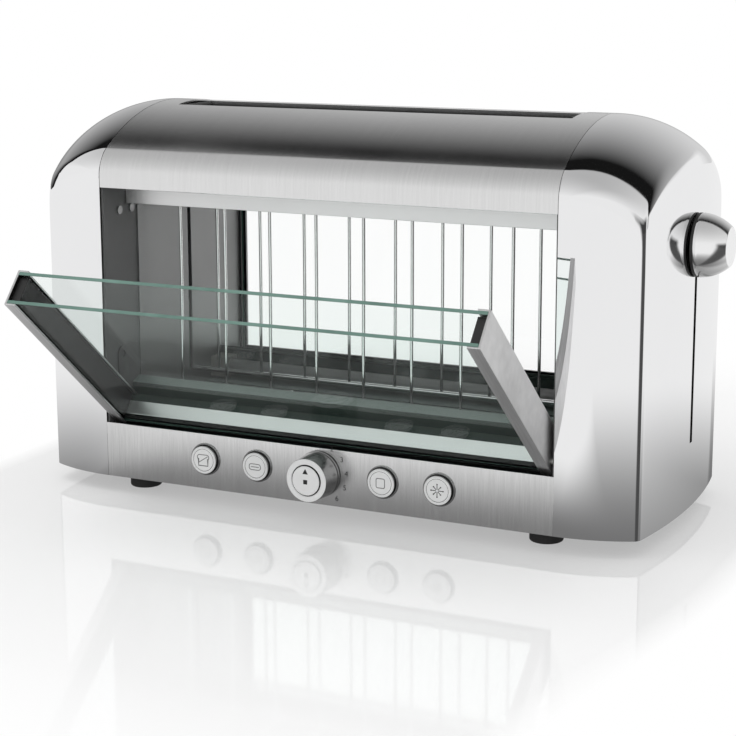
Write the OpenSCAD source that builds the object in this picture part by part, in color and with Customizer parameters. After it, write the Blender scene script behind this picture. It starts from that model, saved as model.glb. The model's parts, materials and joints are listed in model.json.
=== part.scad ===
// Long-slot toaster with glass sides. The front window drops open on a hinge along its lower edge.
// Millimetres, +Z up, front towards -Y. The origin is on the table under the middle of the body.
// Drawn at rest: the front window lies open on its stop, and the lever and bread carriage are up.

/* [Body] */
// Width of the brushed middle section, seam to seam
core_w = 284; // [236:1:341]
// Reach of each end cap past the seam, at its corners
cap_w = 44.5; // [40:0.5:54]
// How much further the middle of an end face bows out
side_bow = 6.3; // [4:0.1:9]
// How far the corners of a cap sweep back from the front face
corner_sweep = 11; // [6:0.5:14]
// Depth of the body, front face to back face
body_d = 166; // [160:1:199]
// Height of the top of the dome
body_h = 230; // [226:1:276]
// Height of the feet, where the body starts
foot_h = 10; // [8:0.5:12]
// Radius of the dome, front to back
dome_r = 130; // [120:1:156]
// Radius of the shoulder between the dome and the upright faces
shoulder_r = 20; // [17:0.5:24]
// Radius with which the dome bends down over each end
end_r = 78; // [70:1:94]
// Thickness of the plated end caps
cap_t = 2; // [1.6:0.1:2.4]
// Thickness of the brushed sheet covers
sheet_t = 1.2; // [1:0.1:1.3]

/* [Window and door] */
// Height of the lower edge of the windows
win_z0 = 43; // [41:0.5:46]
// Height of the upper edge of the windows
win_z1 = 184; // [178:0.5:186]
// Thickness of the double-glazed door
door_t = 22; // [20:0.5:23]
// Angle the door falls open from upright
door_open = 49.5; // [35:0.5:60]
// Thickness of each pane
pane_t = 2; // [1.6:0.1:2.6]
// Width of the door's end channels, seen from the front
channel_w = 7; // [5:0.5:9]
// Diameter of the hinge pins
hinge_pin_d = 5; // [4:0.5:5.5]
// Diameter of the feet
foot_d = 19; // [17:1:22]

/* [Toasting chamber] */
// Length of the bread slot
slot_l = 252; // [210:1:262]
// Width of the bread slot
slot_w = 40; // [33:1:42]
// Spacing of the guard wires
wire_pitch = 31.2; // [26:0.1:32]
// Number of guard wires on each side, an odd number
wire_n = 9; // [5:2:9]
// Diameter of the guard wires
wire_d = 2; // [1.6:0.1:2.4]
// Outside diameter of the quartz heating tubes
tube_d = 9; // [8:0.5:10]
// Travel of the lever and the bread carriage
lift_travel = 105; // [85:1:106]

/* [Controls] */
// Sideways place of the row of controls
controls_x = 1; // [-4:0.5:4]
// Height of the row of controls
controls_z = 28; // [27:0.5:29]
// Diameter of the four round buttons
button_d = 16.6; // [15:0.1:20]
// Distance from the knob to the inner buttons
button_near = 40; // [34:0.5:46]
// Distance from the knob to the outer buttons
button_far = 74.5; // [68:0.5:82]
// Press of a button
button_travel = 2; // [1:0.1:2.1]
// Diameter of the browning knob
knob_d = 25; // [22:0.5:27]
// Projection of the browning knob
knob_l = 16; // [13:0.5:19]
// Diameter of the lever knob at its foot
lever_knob_d = 36; // [30:1:40]
// Projection of the lever knob from the end cap
lever_knob_l = 19; // [16:0.5:26]

/* [Hidden] */
$fn = 64;
run_fit = 0.05;    // radial clearance of a part that turns or slides in a bore
seat_gap = 0.3;    // gap between neighbouring sheets
hw = core_w/2;
hd = body_d/2;
wall_t = 1.2;      // chamber walls
liner_t = 0.8;     // heat reflectors, liners and tray
floor_z = foot_h + 2;
foot_x = hw - 12;
foot_y = hd - 23;

// Outline arcs in plan
sweep_r = (pow(cap_w, 2) + pow(corner_sweep, 2))/(2*corner_sweep);
corner_y = hd - corner_sweep;
bow_r = (pow(corner_y, 2) + pow(side_bow, 2))/(2*side_bow);
end_x = hw + cap_w + side_bow;

// Dome and shoulder
dome_z = body_h - dome_r;
knuckle_y = hd - shoulder_r;
knuckle_z = dome_z + sqrt(pow(dome_r - shoulder_r, 2) - pow(knuckle_y, 2));
bend_z = body_h - end_r;

// Chamber
wall_x = hw - wall_t;                 // inner face of a chamber wall
liner_x = wall_x - liner_t;           // inner face of an end reflector
guard_y = slot_w/2 + 2;
tube_y = guard_y + 22;
tube_hi = win_z1 + 3;
tube_lo = win_z0 + 12;
hood_z0 = win_z1 - 12;                // lower lip of the upper hoods
slot_floor = 58;                      // lower end of the carriage slots
guide_y = 13;                         // the left guide slot, off centre

// Lift
lift_z = 168;                         // middle of the carriage strip, up
lever_z = 160;                        // middle of the lever, up
rod_x = hw + 14;
rod_y = 12;
rod_top = 215;
slider_z0 = lever_z - 8;
slider_z1 = lever_z + 12;
magnet_top = slider_z0 - 4 - lift_travel - 1;

// Door, drawn closed and then swung open about its pins
hinge_y = -(hd - 6);
hinge_z = win_z0 + 7;
door_x = hw - 2.7;
door_y0 = -hd;
door_z0 = win_z0 + 1.5;
door_z1 = win_z1 - 1.5;
pane_y = door_y0 + 1;                 // front of the outer pane
pane_y2 = door_y0 + door_t - 1 - pane_t;
rail_h = 4.5;                         // top of the bottom rail over the door's lower edge
bead_w = 2.5;                         // lip of the seal between the outer pane and the rail

// Control bay
panel_back = -hd + sheet_t;
carrier_y = -hd + 7;                  // front of the plate that guides the buttons
board_y = -hd + 17;                   // front of the control board
shield_y = -57.8 - (hd - 83);
sill_z = win_z0 - 2;

// Rear window
rear_y = hd - 7;
rear_sill = win_z0 + 18.5;

// ---------- shared shapes ----------

// Cross-section of the body, X front to back and Y up, taken in by o all round
module section(o, z0) {
    reach = knuckle_y*(dome_r - o)/(dome_r - shoulder_r);
    intersection() {
        translate([-hd, z0]) square([2*hd, body_h - z0]);
        union() {
            intersection() {
                translate([0, dome_z]) circle(r = dome_r - o, $fn = 180);
                translate([-reach, z0]) square([2*reach, body_h - z0]);
            }
            for (s = [-1, 1]) translate([s*knuckle_y, knuckle_z]) circle(r = shoulder_r - o);
            translate([-(hd - o), z0]) square([2*(hd - o), knuckle_z - z0]);
        }
    }
}

// What the curve of the front face leaves of the plan, open to the rear
module front_sweep(o, x0) {
    translate([hw, sweep_r - hd]) circle(r = sweep_r - o, $fn = 180);
    translate([x0, sweep_r - hd]) square([end_x - x0 + 1, 2*hd]);
}

// Plan of one end cap, taken in by o on its three outer sides, from x0 outwards
module end_plan(o, x0) {
    intersection() {
        front_sweep(o, x0);
        mirror([0, 1, 0]) front_sweep(o, x0);
        translate([end_x - bow_r, 0]) circle(r = bow_r - o, $fn = 360);
        translate([x0, -hd]) square([end_x - x0 + 1, 2*hd]);
    }
}

// Solid of one end: the section carried round the bend, cut to the plan, and run over the seam by more
module end_solid(o, z0, more = 0) {
    intersection() {
        translate([0, 0, z0]) linear_extrude(body_h) end_plan(o, hw - more);
        union() {
            translate([hw, 0, bend_z]) rotate([90, 0, 0]) rotate_extrude(angle = 90, $fn = 180)
                translate([-bend_z, 0]) rotate(-90) section(o, bend_z);
            translate([hw, -(hd - o), z0]) cube([end_r, 2*(hd - o), bend_z - z0]);
            if (more > 0) slice(o, z0, hw - more, more);
        }
    }
}

// A slice of the section, t wide along X from x0
module slice(o, z0, x0, t) {
    translate([x0, 0, 0]) rotate([90, 0, 90]) linear_extrude(t) section(o, z0);
}

module bar(x0, x1, y0, y1, z0, z1) {
    translate([x0, y0, z0]) cube([x1 - x0, y1 - y0, z1 - z0]);
}

module rod_along_x(x0, x1, y, z, d) {
    translate([x0, y, z]) rotate([0, 90, 0]) cylinder(h = x1 - x0, d = d);
}

module rod_along_y(x, y0, y1, z, d) {
    translate([x, y0, z]) rotate([-90, 0, 0]) cylinder(h = y1 - y0, d = d);
}

module both_ends() { children(); mirror([1, 0, 0]) children(); }
module both_sides() { children(); mirror([0, 1, 0]) children(); }

// Swings a piece of the closed door to where it rests
module swung() {
    translate([0, hinge_y, hinge_z]) rotate([door_open, 0, 0]) translate([0, -hinge_y, -hinge_z])
        children();
}

// ---------- casing ----------

module end_cap_shell() {
    difference() {
        end_solid(0, foot_h);
        end_solid(cap_t, foot_h - 1, 1);
    }
}

module left_end_cap() { color("gainsboro") mirror([1, 0, 0]) end_cap_shell(); }

module right_end_cap() {
    color("gainsboro") difference() {
        end_cap_shell();
        bar(end_x - 8, end_x + 2, -1.6, 1.6, lever_z - lift_travel - 7, lever_z + 7);
    }
}

module top_cover() {
    color("silver") difference() {
        slice(0, win_z1, -hw, core_w);
        slice(sheet_t, win_z1 - 1, -hw - 1, core_w + 2);
        bar(-slot_l/2, slot_l/2, -slot_w/2, slot_w/2, dome_z, body_h + 1);
    }
}

module slot_liner() {
    top = dome_z + sqrt(pow(dome_r - sheet_t, 2) - pow(slot_w/2, 2));
    color("dimgray") difference() {
        bar(-slot_l/2, slot_l/2, -slot_w/2, slot_w/2, win_z1 + 22, top + 0.6);
        bar(-slot_l/2 + liner_t, slot_l/2 - liner_t, -slot_w/2 + liner_t, slot_w/2 - liner_t,
            win_z1 + 20, body_h + 1);
    }
}

module front_panel() {
    color("silver") difference() {
        bar(-hw, hw, -hd, panel_back, foot_h, win_z0);
        for (dx = [-button_far, -button_near, button_near, button_far])
            rod_along_y(controls_x + dx, -hd - 1, panel_back + 1, controls_z, button_d + 1.2);
        rod_along_y(controls_x, -hd - 1, panel_back + 1, controls_z, 8);
    }
}

module rear_panel() {
    color("silver") difference() {
        bar(-hw, hw, hd - sheet_t, hd, foot_h, win_z0);
        bar(-121.4, 121.4, hd - 2, hd + 1, floor_z, foot_h + 12);
        rod_along_y(-105, hd - 2, hd + 1, 33, 10.6);
    }
}

module front_sill() { color("black") bar(-wall_x, wall_x, panel_back, shield_y + 0.8, sill_z - 1.5, sill_z); }

module heat_shield() { color("darkgray") bar(-wall_x, wall_x, shield_y, shield_y + 0.8, floor_z, sill_z - 1.5); }

module base_plate() {
    color("dimgray") difference() {
        translate([0, 0, foot_h]) linear_extrude(2) union() {
            both_ends() end_plan(cap_t + seat_gap, hw - 1);
            square([core_w, 2*(hd - sheet_t - seat_gap)], center = true);
        }
        for (x = [-hw - 20, hw + 20], y = [-30:12:30]) bar(x - 14, x + 14, y - 2, y + 2, 0, 20);
        for (sx = [-1, 1], sy = [-1, 1]) translate([sx*foot_x, sy*foot_y, 0]) cylinder(h = 40, d = 3.6);
    }
}

module feet() {
    color("black") for (sx = [-1, 1], sy = [-1, 1]) translate([sx*foot_x, sy*foot_y, 0]) difference() {
        rotate_extrude() union() {
            translate([0, 1]) square([foot_d/2, foot_h - 1]);
            square([foot_d/2 - 1, 2]);
            translate([foot_d/2 - 1, 1]) circle(r = 1);
        }
        translate([0, 0, -1]) cylinder(h = foot_h - 2, d = 7);
        cylinder(h = foot_h + 1, d = 3.6);
    }
}

module base_screws() {
    color("silver") for (sx = [-1, 1], sy = [-1, 1]) translate([sx*foot_x, sy*foot_y, foot_h]) union() {
        translate([0, 0, -6]) cylinder(h = 3, d = 6);
        translate([0, 0, -3]) cylinder(h = 11, d = 3);
    }
}

// ---------- chamber ----------

module chamber_wall() {
    difference() {
        slice(sheet_t + seat_gap, floor_z, wall_x, wall_t);
        rod_along_x(wall_x - 1, hw + 1, hinge_y, hinge_z, hinge_pin_d + 2*run_fit);
    }
}

module left_chamber_wall() {
    color("dimgray") difference() {
        mirror([1, 0, 0]) chamber_wall();
        bar(-hw - 1, -wall_x + 1, guide_y - 2, guide_y + 2, slot_floor, lift_z + 7);
    }
}

module right_chamber_wall() {
    color("dimgray") difference() {
        chamber_wall();
        bar(wall_x - 1, hw + 1, -2, 2, slot_floor, lift_z + 7);
    }
}

module end_reflector(y) {
    difference() {
        intersection() {
            bar(liner_x, wall_x, -46, rear_y, win_z0, win_z1 + 22);
            slice(sheet_t + 0.3, win_z0 - 1, liner_x - 1, liner_t + 2);
        }
        bar(liner_x - 1, wall_x + 1, y - 2, y + 2, slot_floor, lift_z + 7);
    }
}

module left_reflector() { color("gray") mirror([1, 0, 0]) end_reflector(guide_y); }
module right_reflector() { color("gray") end_reflector(0); }

module guard() {
    span = (wire_n - 1)/2;
    for (i = [-span:span]) translate([i*wire_pitch, guard_y, slot_floor - 1])
        cylinder(h = win_z1 + 23 - slot_floor, d = wire_d);
    for (z = [slot_floor - 1, win_z1 + 22.5]) rod_along_x(-liner_x, liner_x, guard_y, z, 3);
}

module front_guard() { color("silver") mirror([0, 1, 0]) guard(); }
module rear_guard() { color("silver") guard(); }

module hood_strip(points) {
    both_sides() translate([-liner_x, 0, 0]) rotate([90, 0, 90]) linear_extrude(2*liner_x) polygon(points);
}

module upper_hoods() {
    f = tube_y + 14; t = liner_t; top = tube_hi + 13;
    color("lightgray") hood_strip([[f, hood_z0], [f - 8, hood_z0], [f - 8, hood_z0 + t], [f - t, hood_z0 + t],
        [f - t, top - t], [f - 27, top - t], [f - 27, top], [f, top]]);
}

module lower_hoods() {
    f = tube_y + 12; t = liner_t; z0 = win_z0 + 3;
    color("lightgray") hood_strip([[f, z0], [f, z0 + 18], [f - 7, z0 + 21], [f - 7, z0 + 20.1],
        [f - t, z0 + 17.4], [f - t, z0 + t], [f - 25, z0 + t], [f - 25, z0]]);
}

module at_tubes() {
    for (z = [tube_lo, tube_hi]) both_sides() translate([0, tube_y, z]) children();
}

module quartz_tubes() {
    color("snow") at_tubes() difference() {
        rod_along_x(-liner_x + 6, liner_x - 6, 0, 0, tube_d);
        rod_along_x(-liner_x, liner_x, 0, 0, tube_d - 2.4);
    }
}

module heater_coils() { color("darkorange") at_tubes() rod_along_x(-liner_x + 6, liner_x - 6, 0, 0, tube_d - 4); }

module ceramic_holders() {
    color("ivory") at_tubes() both_ends() difference() {
        bar(liner_x - 12, liner_x, -6.5, 6.5, -6.5, 6.5);
        rod_along_x(liner_x - 13, liner_x - 6, 0, 0, tube_d + 2*seat_gap);
    }
}

module tray_rails() {
    color("dimgray") both_ends() translate([119, 0, 0]) union() {
        bar(0, 1, -50, hd - 5, floor_z, floor_z + 8.4);
        bar(-3, 1, -50, hd - 5, floor_z + 7.6, floor_z + 8.4);
    }
}

module crumb_tray() {
    z = floor_z + 0.6;
    color("silver") union() {
        difference() {
            bar(-118, 118, -54, hd - 1.5, z, z + 6);
            bar(-118 + liner_t, 118 - liner_t, -54 + liner_t, hd - 2.3, z + liner_t, z + 7);
        }
        bar(-121, 121, hd - 1.5, hd, floor_z + 0.4, foot_h + 11.6);
        bar(-18, 18, hd, hd + 7, foot_h + 8.6, foot_h + 10.6);
    }
}

module rear_window_frame() {
    color("black") difference() {
        bar(-wall_x + 0.2, wall_x - 0.2, rear_y, hd, win_z0, win_z1);
        bar(-liner_x + 4, liner_x - 4, rear_y - 1, hd + 1, rear_sill, win_z1 - 5);
        bar(-liner_x + 1.5, liner_x - 1.5, hd - pane_t - 0.4, hd + 1, rear_sill - 3, win_z1 - 2);
        bar(-liner_x + 1.5, liner_x - 1.5, rear_y - 1, rear_y + pane_t + 0.4, rear_sill - 3, win_z1 - 2);
    }
}

module rear_pane(y0) { bar(-liner_x + 1.8, liner_x - 1.8, y0, y0 + pane_t, rear_sill - 3, win_z1 - 2.3); }
module rear_glass_outer() { color("powderblue") rear_pane(hd - pane_t - 0.4); }
module rear_glass_inner() { color("powderblue") rear_pane(rear_y + 0.4); }

module wall_screws() {
    color("silver") both_ends() for (y = [-65, -52]) rod_along_x(wall_x - 1, wall_x, y, hood_z0 - 3.2, 5);
}

module door_stop_tabs() {
    color("gray") both_ends() translate([wall_x - 1, -65, win_z0 + 26]) rotate([90, 0, 90]) linear_extrude(1)
        difference() {
            union() { translate([-5, 0]) square([10, 14]); translate([0, 14]) circle(r = 5); }
            translate([0, 14]) circle(r = 2.2);
        }
}

// ---------- lift ----------

module carriage() {
    color("silver") union() {
        bar(-liner_x + 4, rod_x - 7, -1, 1, lift_z - 3, lift_z + 3);
        for (i = [-3.5:3.5]) rod_along_y(i*wire_pitch, -guard_y + 5, guard_y - 5, lift_z + 4, 2.4);
        bar(-liner_x + 4, -liner_x + 6, -1, guide_y + 1, lift_z - 3, lift_z + 3);
        bar(-hw - 4, -liner_x + 6, guide_y - 1, guide_y + 1, lift_z - 3, lift_z + 3);
    }
}

module lever_slider() {
    color("dimgray") difference() {
        union() {
            bar(rod_x - 7, rod_x + 7, -20, 20, slider_z0, slider_z1);
            bar(rod_x - 7, rod_x + 7, -7, 7, slider_z0 - 4, slider_z0);
            bar(rod_x + 7, end_x + 0.6, -1.2, 1.2, lever_z - 5, lever_z + 5);
        }
        for (s = [-1, 1]) translate([rod_x, s*rod_y, slider_z0 - 1])
            cylinder(h = 30, d = 5 + 2*run_fit);
    }
}

module lever_knob_ring() {
    color("black") rod_along_x(end_x + 0.6, end_x + 2.1, 0, lever_z, lever_knob_d - 0.4);
}

module lever_knob() {
    r = lever_knob_d/2; l = lever_knob_l - 2.1; nose = r*0.65;
    color("gainsboro") translate([end_x + 2.1, 0, lever_z]) rotate([0, 90, 0]) rotate_extrude() intersection() {
        square([r, l]);
        translate([r - 26, -1]) circle(r = 26, $fn = 120);
        union() { square([r, l - 1.2]); square([nose, l]); translate([nose, l - 1.2]) circle(r = 1.2); }
    }
}

module guide_rods() {
    color("silver") for (s = [-1, 1]) translate([rod_x, s*rod_y, floor_z]) cylinder(h = rod_top - floor_z, d = 5);
}

module rod_bracket() { color("dimgray") bar(hw, rod_x + 9, -18, 18, rod_top, rod_top + 2); }

// Closed-wound tension spring between the slider and the bracket
module return_spring() {
    turns = floor((rod_top - slider_z1)/1.4) - 1;
    color("gray") translate([rod_x, 0, slider_z1]) rotate_extrude($fn = 32) union() {
        translate([2.6, 0]) square([1, rod_top - slider_z1]);
        for (i = [0:turns]) translate([3.2, 0.9 + i*1.4]) circle(r = 0.8, $fn = 16);
    }
}

module latch_magnet() {
    color("darkred") union() {
        bar(rod_x - 6, rod_x + 6, -8, 8, floor_z, magnet_top - 6);
        bar(rod_x - 4, rod_x + 4, -5, 5, magnet_top - 6, magnet_top);
    }
}

// ---------- controls ----------

module control_board() {
    color("darkgreen") union() {
        bar(-98, 98, board_y, board_y + 1.6, floor_z + 2, sill_z - 4);
        for (dx = [-button_far, -button_near, button_near, button_far])
            bar(controls_x + dx - 3, controls_x + dx + 3, board_y - 3, board_y, controls_z - 3, controls_z + 3);
        difference() {
            bar(controls_x - 6, controls_x + 6, board_y - 6, board_y, controls_z - 6, controls_z + 6);
            rod_along_y(controls_x, board_y - 7, board_y - 1, controls_z, 6 + 2*run_fit);
        }
    }
}

module button_carrier() {
    color("dimgray") difference() {
        union() {
            bar(-95, 95, carrier_y, carrier_y + 3, foot_h + 5, sill_z - 3);
            for (x = [-91, -57, 57, 91], z = [foot_h + 9, sill_z - 7]) {
                rod_along_y(x, panel_back, carrier_y + 1, z, 5);
                rod_along_y(x, carrier_y + 2, board_y, z, 5);
            }
        }
        for (dx = [-button_far, -button_near, button_near, button_far])
            rod_along_y(controls_x + dx, carrier_y - 1, carrier_y + 4, controls_z, 8 + 2*run_fit);
        rod_along_y(controls_x, carrier_y - 1, carrier_y + 4, controls_z, 13);
    }
}

module button_bezels() {
    color("black") for (dx = [-button_far, -button_near, button_near, button_far]) difference() {
        rod_along_y(controls_x + dx, -hd - 0.8, -hd, controls_z, button_d + 2.6);
        rod_along_y(controls_x + dx, -hd - 1, -hd + 1, controls_z, button_d + 2*seat_gap);
    }
}

module button(dx) {
    r = button_d/2;
    color("gainsboro") translate([controls_x + dx, -hd, controls_z]) rotate([90, 0, 0]) union() {
        rotate_extrude() union() {
            translate([0, -3]) square([r, 5]);
            translate([0, 1.9]) square([r - 1.2, 1.3]);
            translate([r - 1.2, 2]) circle(r = 1.2);
        }
        translate([0, 0, -11.7]) cylinder(h = 9, d = 8);
    }
}

module button_left_outer() { button(-button_far); }
module button_left_inner() { button(-button_near); }
module button_right_inner() { button(button_near); }
module button_right_outer() { button(button_far); }

module at_knob() { translate([controls_x, -hd, controls_z]) rotate([90, 0, 0]) children(); }

module browning_knob() {
    r = knob_d/2; well = knob_d - 7.4;
    color("silver") at_knob() difference() {
        rotate_extrude() union() {
            polygon([[0, 0.8], [r + 1, 0.8], [r, knob_l - 1], [0, knob_l - 1]]);
            square([r - 1, knob_l]);
            translate([r - 1, knob_l - 1]) circle(r = 1);
        }
        translate([0, 0, knob_l - 6]) cylinder(h = 7, d = well);
    }
}

module browning_shaft() { color("dimgray") at_knob() translate([0, 0, -14]) cylinder(h = 14, d = 6); }

module stop_button() {
    d = knob_d - 7.4 - 2*seat_gap;
    color("gainsboro") at_knob() translate([0, 0, knob_l - 3.6]) rotate_extrude() union() {
        square([d/2, 3.8]);
        square([d/2 - 0.8, 4.6]);
        translate([d/2 - 0.8, 3.8]) circle(r = 0.8);
    }
}

// ---------- door ----------

module door_channel() {
    union() {
        bar(door_x - sheet_t, door_x, door_y0, door_y0 + door_t, door_z0, door_z1);
        bar(door_x - channel_w, door_x, door_y0, pane_y, door_z0, door_z1);
        bar(door_x - channel_w, door_x, door_y0 + door_t - 1, door_y0 + door_t, door_z0, door_z1);
    }
}

module door_channel_right() { color("silver") swung() door_channel(); }
module door_channel_left() { color("silver") swung() mirror([1, 0, 0]) door_channel(); }

module door_spacers() {
    color("black") swung() both_ends()
        bar(door_x - channel_w, door_x - sheet_t, pane_y + pane_t, pane_y2, door_z0 + 1.5, door_z1 - 2.5);
}

module door_bottom_rail() {
    w = door_x - channel_w;
    color("lightgray") swung() bar(-w, w, pane_y + pane_t + bead_w, pane_y2, door_z0 + 1.5, door_z0 + rail_h);
}

module door_seal() {
    w = door_x - sheet_t;
    color("black") swung() union() {
        bar(-w, w, pane_y, door_y0 + door_t - 1, door_z0, door_z0 + 1.5);
        bar(channel_w - door_x, door_x - channel_w, pane_y + pane_t, pane_y + pane_t + bead_w, door_z0, door_z0 + rail_h);
    }
}

module door_pane(y0) {
    w = door_x - sheet_t;
    swung() bar(-w, w, y0, y0 + pane_t, door_z0 + 1.5, door_z1);
}

module door_glass_outer() { color("powderblue") door_pane(pane_y); }
module door_glass_inner() { color("powderblue") door_pane(pane_y2); }

module door_hinge_pins() {
    color("silver") swung() both_ends() rod_along_x(door_x, hw + 4, hinge_y, hinge_z, hinge_pin_d);
}

// ---------- supply ----------

module power_board() {
    color("darkgreen") union() {
        bar(-hw - 6, -hw - 4.4, -45, 45, 20, 100);
        for (y = [-40, 40], z = [25, 95]) rod_along_x(-hw - 4.4, -hw, y, z, 6);
    }
}

module power_parts() {
    color("dimgray") union() {
        bar(-hw - 30, -hw - 6, -34, -4, 30, 62);
        bar(-hw - 24, -hw - 6, 6, 26, 34, 62);
        bar(-hw - 20, -hw - 6, -30, 30, 74, 88);
    }
}

module cord_gland() {
    color("black") difference() {
        union() {
            rod_along_y(-105, hd - 3.5, hd, 33, 10);
            rod_along_y(-105, hd, hd + 5, 33, 15);
            rod_along_y(-105, hd - 4.5, hd - sheet_t, 33, 14);
        }
        rod_along_y(-105, hd - 6, hd + 6, 33, 7);
    }
}

base_plate();
feet();
base_screws();
left_end_cap();
right_end_cap();
left_chamber_wall();
right_chamber_wall();
left_reflector();
right_reflector();
top_cover();
slot_liner();
front_panel();
front_sill();
heat_shield();
rear_panel();
rear_window_frame();
rear_glass_outer();
rear_glass_inner();
front_guard();
rear_guard();
upper_hoods();
lower_hoods();
quartz_tubes();
heater_coils();
ceramic_holders();
tray_rails();
crumb_tray();
carriage();
lever_slider();
lever_knob_ring();
lever_knob();
guide_rods();
rod_bracket();
return_spring();
latch_magnet();
control_board();
button_carrier();
button_bezels();
button_left_outer();
button_left_inner();
button_right_inner();
button_right_outer();
browning_knob();
browning_shaft();
stop_button();
door_channel_left();
door_channel_right();
door_spacers();
door_bottom_rail();
door_seal();
door_glass_outer();
door_glass_inner();
door_hinge_pins();
door_stop_tabs();
wall_screws();
power_board();
power_parts();
cord_gland();
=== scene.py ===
import json
import math

import bmesh
import bpy
from mathutils import Matrix, Vector


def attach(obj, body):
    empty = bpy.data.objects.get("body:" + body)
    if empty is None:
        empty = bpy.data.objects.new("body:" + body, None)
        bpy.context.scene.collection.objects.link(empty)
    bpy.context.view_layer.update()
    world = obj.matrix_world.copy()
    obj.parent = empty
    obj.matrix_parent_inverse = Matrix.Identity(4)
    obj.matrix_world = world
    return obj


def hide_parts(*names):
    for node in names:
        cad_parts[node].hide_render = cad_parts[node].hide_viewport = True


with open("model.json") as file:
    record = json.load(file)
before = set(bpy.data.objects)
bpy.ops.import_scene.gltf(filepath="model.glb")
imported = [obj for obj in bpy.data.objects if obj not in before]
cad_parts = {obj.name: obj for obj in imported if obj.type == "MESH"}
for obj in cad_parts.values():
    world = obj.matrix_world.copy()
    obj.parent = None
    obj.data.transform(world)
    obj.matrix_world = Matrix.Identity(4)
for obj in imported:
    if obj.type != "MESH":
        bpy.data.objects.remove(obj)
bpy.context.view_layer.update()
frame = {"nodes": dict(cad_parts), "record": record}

# Long-slot toaster: polished end caps, brushed cover and panel, and a double-glazed door that drops open.
# Sizes are written in millimetres and turned into metres with MM. Front is towards -Y.

MM = 0.001

# Body
CORE_W = 284          # brushed middle, seam to seam
CAP_W = 44.5          # reach of an end cap at its corners
SIDE_BOW = 6.3        # how far the middle of an end face bows out past its corners
CORNER_SWEEP = 11     # how far the corners sweep back from the front face
BODY_D = 166
BODY_H = 230
FOOT_H = 10
DOME_R = 130
SHOULDER_R = 20
END_R = 71.5          # bend of the dome down over each end
CAP_T = 2
SHEET_T = 1.2
CORNER_EASE = 2.5     # easing of the upright corners
FRONT_EASE = 5        # easing between the roof and the front, at the corner
SIDE_EASE = 6         # easing between the roof and the end face
EDGE = 0.25           # rounding of plain sheet and moulded edges
WIN_Z1 = 184          # upper edge of the windows
SLOT_HALF = 2.2       # half the width of the lever's slot
SLOT_L = 252
SLOT_W = 40

HALF_W = CORE_W / 2
HALF_D = BODY_D / 2
DOME_Z = BODY_H - DOME_R
KNUCKLE_Y = HALF_D - SHOULDER_R
KNUCKLE_Z = DOME_Z + math.sqrt((DOME_R - SHOULDER_R) ** 2 - KNUCKLE_Y ** 2)
BEND_Z = BODY_H - END_R
SWEEP_R = (CAP_W ** 2 + CORNER_SWEEP ** 2) / (2 * CORNER_SWEEP)
CORNER_Y = HALF_D - CORNER_SWEEP
BOW_R = (CORNER_Y ** 2 + SIDE_BOW ** 2) / (2 * SIDE_BOW)
END_X = HALF_W + CAP_W + SIDE_BOW

# Lever
LEVER_Z = 160
LEVER_TRAVEL = 105
KNOB_END_R = 18       # radius of the knob on the lever

# Controls
CONTROL_X = 1
CONTROL_Z = 28
KNOB_R = 12.5
KNOB_L = 16
KNOB_WELL = 8.8       # radius of the well the stop button sits in
DIGIT_R = 17.4        # radius of the ring of numerals round the knob
DIGIT_SIZE = 4.4
INK_T = 0.12          # thickness of a printed mark
BUTTON_R = 8.3
BUTTON_OUT = 3.2      # how far a button's face stands out from the panel
BUTTON_X = (-74.5, -40, 40, 74.5)

# Door, as it hangs open
DOOR_OPEN = math.radians(49.5)
# the rail's dark share is painted shade along the inner pane
RAIL_SHADE = 0.36      # dark share of the rail at the foot of the door
WEB_AREA = 400 * MM * MM   # faces of a door channel over this are its web


# ---------- node helpers ----------

def new_material(name):
    made = bpy.data.materials.new(name)
    made.use_nodes = True
    nodes = made.node_tree.nodes
    nodes.clear()
    out = nodes.new("ShaderNodeOutputMaterial")
    shader = nodes.new("ShaderNodeBsdfPrincipled")
    made.node_tree.links.new(shader.outputs[0], out.inputs[0])
    return made, made.node_tree, shader


def add(tree, kind, **settings):
    """A node with its own properties set, and its sockets set where the name is a socket."""
    node = tree.nodes.new(kind)
    for key, value in settings.items():
        if hasattr(node, key):
            setattr(node, key, value)
        else:
            node.inputs[key.replace("_", " ").title()].default_value = value
    return node


def join(tree, source, target):
    tree.links.new(source, target)


def calc(tree, operation, a, b=None):
    node = tree.nodes.new("ShaderNodeMath")
    node.operation = operation
    for socket, value in zip(node.inputs, (a, b)):
        if value is None:
            continue
        if isinstance(value, (int, float)):
            socket.default_value = value
        else:
            tree.links.new(value, socket)
    return node.outputs[0]


def spread(tree, value, from_min, from_max, to_min, to_max, eased=False):
    node = tree.nodes.new("ShaderNodeMapRange")
    if eased:
        node.interpolation_type = "SMOOTHSTEP"
    tree.links.new(value, node.inputs["Value"])
    limits = {"From Min": from_min, "From Max": from_max, "To Min": to_min, "To Max": to_max}
    for key, number in limits.items():
        node.inputs[key].default_value = number
    return node.outputs["Result"]


def blend_colours(tree, factor, first, second):
    """Mixes two colours, each a socket, a colour or the level of a grey."""
    node = tree.nodes.new("ShaderNodeMix")
    node.data_type = "RGBA"
    tree.links.new(factor, node.inputs["Factor"])
    for socket, value in zip([s for s in node.inputs if s.type == "RGBA"], (first, second)):
        if isinstance(value, bpy.types.NodeSocket):
            tree.links.new(value, socket)
        else:
            socket.default_value = (*(value if isinstance(value, tuple) else (value,) * 3), 1)
    return [s for s in node.outputs if s.type == "RGBA"][0]


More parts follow.
